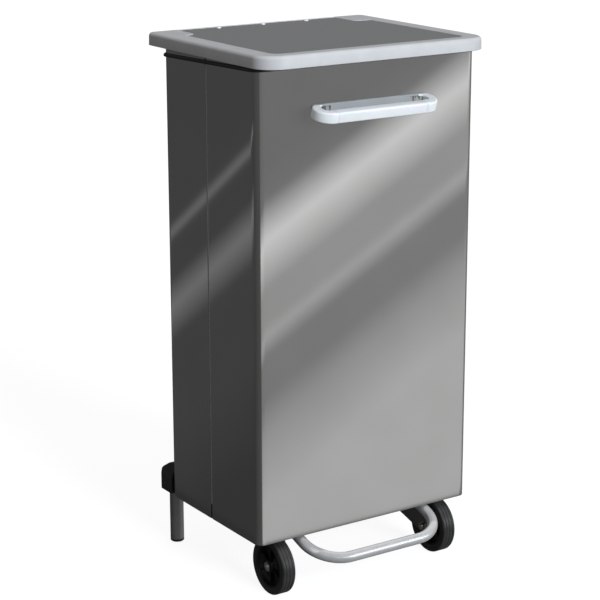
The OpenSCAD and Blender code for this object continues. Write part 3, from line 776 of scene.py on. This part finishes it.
def hub():
    """Dished wheel centre with a rim, a boss and six low ribs on each face."""
    face = WHEEL_W / 2 - 0.4 * MM
    web = 2.4 * MM
    half = [
        (face, BUSH_R), (face, 9.4 * MM), (face - 0.6 * MM, 10.6 * MM), (face - 2 * MM, 11 * MM),
        (web + 3 * MM, 12 * MM), (web + 1 * MM, 13.4 * MM), (web, 16 * MM), (web, 27 * MM),
        (web + 0.8 * MM, 30 * MM), (web + 3 * MM, 32.4 * MM), (face - 3 * MM, 34 * MM),
        (face - 0.8 * MM, 34.4 * MM), (face, 35.2 * MM), (face, HUB_R - 0.5 * MM),
        (face - 0.5 * MM, HUB_R),
    ]
    far = [(-x, r) for x, r in reversed(half)]
    bm = lathe(half + far, 96)
    for k in range(6):
        rib = block((-face + 4 * MM, 9 * MM, -1.3 * MM), (face - 4 * MM, 34.6 * MM, 1.3 * MM))
        rib.transform(Matrix.Rotation(math.radians(60 * k + 30), 4, "X"))
        bm = combine(bm, rib, "UNION")
    bm.transform(Matrix.Translation((WHEEL_W / 2, 0, 0)))
    return bm


def at_right_wheel(bm):
    bm.transform(Matrix.Translation((TYRE[0].x, AXLE.y, AXLE.z)))
    return bm


def domed_bolt():
    """Bolt with a washer face, a domed head outside the wheel and a shank through it."""
    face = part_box("axle_spacers")[1].x
    end = 141.6 * MM
    shank = 4 * MM
    head = 5.6 * MM
    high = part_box("axle_bolts")[1].x - face
    dome = [
        (face + high * math.sin(math.radians(a)), head * math.cos(math.radians(a)))
        for a in (20, 35, 50, 65, 80, 88)
    ]
    profile = (
        [(end, 0.05 * MM), (end, shank - 0.5 * MM), (end + 0.5 * MM, shank), (face, shank)]
        + [(face, 6.4 * MM), (face + 0.4 * MM, 6.5 * MM), (face + 0.7 * MM, 6.2 * MM)]
        + dome
        + [(face + high, 0.05 * MM)]
    )
    bm = lathe(profile, 48)
    bm.transform(Matrix.Translation((0, AXLE.y, AXLE.z)))
    return bm


def build_wheels():
    for side, flip in (("left", True), ("right", False)):
        for part, make, slot in (("tyre", tyre, "tyre_rubber"), ("hub", hub, "hub_plastic")):
            bm = at_right_wheel(make())
            if flip:
                bm = mirrored(bm)
            piece(f"{side}_wheel_{part}", bm, f"{side}_wheel", MATERIALS[slot],
                  [f"{side}_{part}"], 38)
    piece("wheel_bolts", both_sides(domed_bolt()), "casing",
          MATERIALS["fastener_zinc"], ["axle_bolts"], 38)


# ---- pedal ----

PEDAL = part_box("pedal_bar")
PIVOT_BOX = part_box("pivot_shaft")
PIVOT = (PIVOT_BOX[0] + PIVOT_BOX[1]) / 2
PEDAL_R = 9.5 * MM
PEDAL_HALF = PEDAL[1].x - PEDAL_R
PEDAL_BEND = 60 * MM
PEDAL_BAR = Vector((0, PEDAL[0].y + PEDAL_R, PEDAL[0].z + PEDAL_R))
PIVOT_TUBE_R = 10 * MM


def pedal_frame():
    """Turns the flat pedal, foot bar at the origin and arms along Y, up to its pivot."""
    reach = PIVOT - PEDAL_BAR
    slope = math.atan2(reach.z, reach.y)
    length = math.hypot(reach.z, reach.y)
    return Matrix.Translation(PEDAL_BAR) @ Matrix.Rotation(slope, 4, "X"), length


def pedal_path(length):
    """Middle line of half the pedal, from the foot bar's middle to the pivot."""
    bend_x = PEDAL_HALF - PEDAL_BEND
    points = [(0, 0), (bend_x * 0.5, 0)]
    points += arc(bend_x, PEDAL_BEND, PEDAL_BEND, 270, 360, 18)
    points += [(PEDAL_HALF, (PEDAL_BEND + length) / 2), (PEDAL_HALF, length)]
    return points


def pedal_tube():
    """One bent tube from pivot to pivot, coped to fit the cross tube."""
    frame_matrix, length = pedal_frame()
    right = pedal_path(length - 2 * MM)
    path = [(-x, y) for x, y in reversed(right[1:])] + right
    rings = []
    for k, (x, y) in enumerate(path):
        before = path[max(k - 1, 0)]
        after = path[min(k + 1, len(path) - 1)]
        along = Vector((after[0] - before[0], after[1] - before[1])).normalized()
        side = Vector((-along.y, along.x))
        ring = []
        for a, b in arc(0, 0, PEDAL_R, 0, 360 - 360 / 32, 31):
            ring.append((x + side.x * a, y + side.y * a, b))
        rings.append(ring)
    bm = skin(rings, caps=True)
    bm.transform(frame_matrix)
    reach = PEDAL_HALF + 30 * MM
    cope = rod(PIVOT_TUBE_R - 0.1 * MM, (-reach, PIVOT.y, PIVOT.z), (reach, PIVOT.y, PIVOT.z))
    return combine(bm, cope)


def weld_bead():
    """Rippled bead of weld round the right arm where it meets the cross tube."""
    frame_matrix, length = pedal_frame()
    steps = 96
    rings = []
    for k in range(steps):
        a = 2 * math.pi * k / steps
        across = PEDAL_R * math.cos(a)
        up = PEDAL_R * math.sin(a)
        along = length - math.sqrt(PIVOT_TUBE_R ** 2 - up ** 2)
        r = (1.7 + 0.22 * math.sin(a * 22)) * MM
        radial = Vector((math.cos(a), 0, math.sin(a)))
        middle = Vector((PEDAL_HALF + across, along, up))
        ring = []
        for p, q in arc(0, 0, r, 0, 315, 7):
            ring.append(middle + radial * p + Vector((0, q, 0)))
        rings.append(ring)
    bm = skin(rings, closed=True)
    bm.transform(frame_matrix)
    return bm


def build_pedal():
    tube = MATERIALS["tube_steel"]
    pedal = piece("pedal_tube", pedal_tube(), "pedal", tube, ["pedal_bar"], 50)
    pedal.visible_glossy = False
    piece("pedal_welds", both_sides(weld_bead()), "pedal", tube, (), 60)


# ---- strap and plugs ----

def strap():
    """Rubber band round the casing, lower at the back, a little fuller in its middle."""
    low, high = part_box("bag_strap")
    section_h = 6 * MM
    outer = high.x - HALF_W
    inner = 0.3 * MM
    slope = (high.z - low.z - section_h) / (BACK_Y - FRONT_Y)
    middle_z = (high.z + low.z) / 2
    full = outer - inner
    half_h = section_h / 2
    edge = 1.6 * MM
    section = (
        [(inner, -half_h + edge), (inner, half_h - edge)]
        + arc(inner + edge, half_h - edge, edge, 160, 60, 4)
        + [(inner + full * 0.9, half_h * 0.4), (outer, 0), (inner + full * 0.9, -half_h * 0.4)]
        + arc(inner + edge, -half_h + edge, edge, 300, 200, 4)
    )
    rings = []
    for out, up in section:
        outline = rounded(
            -HALF_W - out, FRONT_Y - out, HALF_W + out, BACK_Y + out,
            CASING_R + out, CASING_R + out, 10,
        )
        rings.append([(x, y, middle_z + up - (y - CASING_Y) * slope) for x, y in outline])
    return skin(rings, closed=True)


def seam_shade_plug():
    """Dark rubber-look plug with a rounded face in the lower end of the right joint: a dark piece
    standing in for the shade in that gap.
    """
    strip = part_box("seam_strips")
    gap = 0.15 * MM
    rings = []
    for inset, x in ((0, strip[1].x + gap), (0, HALF_W - 0.7 * MM), (0.3 * MM, HALF_W - 0.4 * MM)):
        outline = rounded(
            PANEL[1].y + gap + inset, PANEL[0].z + gap + inset,
            REAR[0].y - gap - inset, strip[0].z - gap - inset, 0.8 * MM, 0.8 * MM,
        )
        rings.append([(x, y, z) for y, z in outline])
    return skin(rings, caps=True)


def build_strap():
    rubber_look = MATERIALS["black_rubber"]
    piece("strap_band", strap(), "casing", rubber_look, ["bag_strap"], 50)
    # painted shade: dark plugs where the joints' lower gaps are in shadow
    piece("seam_shade_plugs", both_sides(seam_shade_plug()), "casing", rubber_look)


# ---- light, floor and camera ----

CAMERA = Vector((-1808.4, -2674.3, 1353.9)) * MM + Vector((0, CASING_Y, 0))
CAMERA_LENS = 114.71
CAMERA_DOWN = math.radians(15.349)
CAMERA_ROLL = math.radians(0.083)
CAMERA_TURN = math.radians(-33.508)
CARD_GAP = 40 * MM
CARD_LOW = PANEL[0].z - 16 * MM
CARD_HIGH = LID_LOW - 2 * MM
SHEET_REFLECTANCE = linear(180)


def add_camera():
    data = bpy.data.cameras.new("camera")
    data.sensor_width = 36
    data.lens = CAMERA_LENS
    camera = bpy.data.objects.new("camera", data)
    scene.collection.objects.link(camera)
    camera.location = CAMERA
    camera.rotation_euler = (math.radians(90) - CAMERA_DOWN, CAMERA_ROLL, CAMERA_TURN)
    scene.camera = camera


def flat_object(name, corners):
    mesh = bpy.data.meshes.new(name)
    mesh.from_pydata(corners, [], [(0, 1, 2, 3)])
    obj = bpy.data.objects.new(name, mesh)
    scene.collection.objects.link(obj)
    return obj


def hide_from(obj, *rays):
    for ray in rays:
        setattr(obj, f"visible_{ray}", False)


def only_in_reflections(obj):
    hide_from(obj, "camera", "diffuse", "transmission", "volume_scatter", "shadow")


def only_in_camera(obj):
    hide_from(obj, "diffuse", "glossy", "transmission", "volume_scatter", "shadow")


def card_material(name, weights, offset, stops, span):
    """Light in stops of (mm across the stripes, level), which weights for X, Y and Z measure."""
    material = bpy.data.materials.new(name)
    material.use_nodes = True
    tree = material.node_tree
    tree.nodes.clear()
    place = tree.nodes.new("ShaderNodeNewGeometry")
    dot = tree.nodes.new("ShaderNodeVectorMath")
    dot.operation = "DOT_PRODUCT"
    dot.inputs[1].default_value = weights
    spread = tree.nodes.new("ShaderNodeMapRange")
    spread.inputs["From Min"].default_value = span[0] - offset
    spread.inputs["From Max"].default_value = span[1] - offset
    ramp = tree.nodes.new("ShaderNodeValToRGB")
    elements = ramp.color_ramp.elements
    for t, level in stops:
        share = (t * MM - span[0]) / (span[1] - span[0])
        element = elements.new(share)
        value = linear(level) / SHEET_REFLECTANCE
        element.color = (value, value, value, 1)
    elements.remove(elements[0])
    elements.remove(elements[len(elements) - 1])
    light = tree.nodes.new("ShaderNodeEmission")
    output = tree.nodes.new("ShaderNodeOutputMaterial")
    tree.links.new(place.outputs["Position"], dot.inputs[0])
    tree.links.new(dot.outputs["Value"], spread.inputs["Value"])
    tree.links.new(spread.outputs["Result"], ramp.inputs["Fac"])
    tree.links.new(ramp.outputs["Color"], light.inputs["Color"])
    tree.links.new(light.outputs["Emission"], output.inputs["Surface"])
    return material


def front_card():
    """Soft diagonal stripes that the front sheet reflects, in place for the main camera."""
    scale = 1 + CARD_GAP / (FRONT_Y - CAMERA.y)
    shift = CAMERA * (1 - scale)
    across, up = -0.480, 0.877
    y = FRONT_Y - CARD_GAP
    left = -HALF_W - 6 * MM
    right = HALF_W + 120 * MM
    corners = [(left, y, CARD_LOW), (right, y, CARD_LOW), (right, y, CARD_HIGH), (left, y, CARD_HIGH)]
    obj = flat_object("front_card", corners)
    offset = -(across * shift.x + up * shift.z) / scale
    pale, middle, dark = 165, 140, 115
    stops = [
        (0, pale), (260, pale), (370, middle), (420, dark), (480, dark),
        (510, 155), (530, middle), (580, middle), (650, 195), (710, 105), (760, 100),
    ]
    span = (0.0, 0.9)
    obj.data.materials.append(
        card_material("front_card", (across / scale, 0, up / scale), offset, stops, span)
    )
    only_in_reflections(obj)


def left_card():
    """Two streaks on a dark card that the left side reflects, in place for the main camera."""
    scale = 1 + CARD_GAP / (-HALF_W - CAMERA.x)
    shift = Vector((0, CAMERA.y - CASING_Y, CAMERA.z)) * (1 - scale)
    back, up = 0.582, 0.813
    x = -HALF_W - CARD_GAP
    near = FRONT_Y + 20 * MM
    far = BACK_Y + 160 * MM
    corners = [(x, near, CARD_LOW), (x, far, CARD_LOW), (x, far, CARD_HIGH), (x, near, CARD_HIGH)]
    obj = flat_object("left_card", corners)
    offset = -(back * (shift.y + CASING_Y) + up * shift.z) / scale
    dark, light = 60, 105
    stops = [
        (120, 50), (270, dark), (400, dark), (450, light), (490, dark),
        (545, dark), (555, light), (570, dark), (880, dark),
    ]
    span = (0.0, 0.95)
    obj.data.materials.append(
        card_material("left_card", (0, back / scale, up / scale), offset, stops, span)
    )
    only_in_reflections(obj)


def soft_box():
    """Bright panel up on the right, seen only in the highlights of edges and tubes."""
    distance, half_width, half_height = 2.6, 0.75, 0.6
    toward = Vector((0.53, -0.78, 0.31)).normalized()
    middle = toward * distance
    side = Vector((0.78, 0.53, 0)).normalized() * half_width
    up = toward.cross(side.normalized()) * half_height
    corners = [middle - side - up, middle + side - up, middle + side + up, middle - side + up]
    obj = flat_object("soft_box", [tuple(c) for c in corners])
    material = bpy.data.materials.new("soft_box")
    material.use_nodes = True
    tree = material.node_tree
    tree.nodes.clear()
    light = tree.nodes.new("ShaderNodeEmission")
    light.inputs["Strength"].default_value = 2.5
    light.inputs["Color"].default_value = (0.94, 0.97, 1, 1)
    output = tree.nodes.new("ShaderNodeOutputMaterial")
    tree.links.new(light.outputs["Emission"], output.inputs["Surface"])
    obj.data.materials.append(material)
    only_in_reflections(obj)


def floor_material():
    """Pale floor that is nearly even in brightness, with a faint mottling."""
    s = Shader("floor")
    s.colour(s.noise(3), tinted(122), tinted(126))
    s.set(roughness=0.9)
    s.surface.inputs["Specular IOR Level"].default_value = 0.0
    s.surface.inputs["Emission Color"].default_value = (1, 1, 1, 1)
    s.surface.inputs["Emission Strength"].default_value = 0.9
    return s.material


def add_floor():
    reach = 20
    corners = [(-reach, -reach, 0), (reach, -reach, 0), (reach, reach, 0), (-reach, reach, 0)]
    obj = flat_object("floor", corners)
    obj.data.materials.append(floor_material())
    hide_from(obj, "diffuse", "glossy")


def add_backdrop():
    """Pale wall far away all round, seen by the camera alone."""
    wall_r = 19
    circle = arc(0, 0, wall_r, 0, 354, 59)
    obj = loose_object(skin([ring_at(circle, z) for z in (-0.1, 14)]), "backdrop")
    s = Shader("backdrop")
    s.colour(s.noise(0.3), tinted(60), tinted(64))
    s.surface.inputs["Emission Color"].default_value = (1, 1, 1, 1)
    s.surface.inputs["Emission Strength"].default_value = 0.97
    obj.data.materials.append(s.material)
    only_in_camera(obj)


def add_world():
    """Soft surroundings: brightest above, then on the right, dim on the left and behind."""
    world = bpy.data.worlds.new("studio")
    scene.world = world
    world.use_nodes = True
    tree = world.node_tree
    place = tree.nodes.new("ShaderNodeTexCoord")
    total = None
    for axis, start, end, low, high in (
        ((0, 0, 1), -0.25, 1.0, 0.0, 0.30),
        ((1, 0, 0), 0.0, 1.0, 0.0, 0.20),
        ((0, -1, 0), -1.0, 1.0, 0.0, 0.08),
    ):
        dot = tree.nodes.new("ShaderNodeVectorMath")
        dot.operation = "DOT_PRODUCT"
        dot.inputs[1].default_value = axis
        spread = tree.nodes.new("ShaderNodeMapRange")
        spread.interpolation_type = "SMOOTHSTEP"
        spread.inputs["From Min"].default_value = start
        spread.inputs["From Max"].default_value = end
        spread.inputs["To Min"].default_value = low
        spread.inputs["To Max"].default_value = high
        tree.links.new(place.outputs["Generated"], dot.inputs[0])
        tree.links.new(dot.outputs["Value"], spread.inputs["Value"])
        if total is None:
            total = spread.outputs["Result"]
            continue
        add = tree.nodes.new("ShaderNodeMath")
        tree.links.new(total, add.inputs[0])
        tree.links.new(spread.outputs["Result"], add.inputs[1])
        total = add.outputs["Value"]
    base = tree.nodes.new("ShaderNodeMath")
    base.inputs[1].default_value = 0.055
    tree.links.new(total, base.inputs[0])
    background = tree.nodes["Background"]
    background.inputs["Color"].default_value = (1.0, 0.982, 0.965, 1)
    tree.links.new(base.outputs["Value"], background.inputs["Strength"])


def add_key():
    """Large soft key light from the front and above."""
    data = bpy.data.lights.new("key", "SUN")
    data.energy = 3.4
    data.angle = math.radians(24)
    data.color = (0.87, 0.935, 1.0)
    key = bpy.data.objects.new("key", data)
    scene.collection.objects.link(key)
    toward = Vector((0.04, -0.92, 0.37))
    key.rotation_euler = toward.to_track_quat("Z", "Y").to_euler()
    key.visible_glossy = False


finish_cad_nodes()
build_lid()
build_handle()
build_wheels()
build_pedal()
build_strap()
add_camera()
add_floor()
add_backdrop()
add_world()
add_key()
front_card()
left_card()
soft_box()
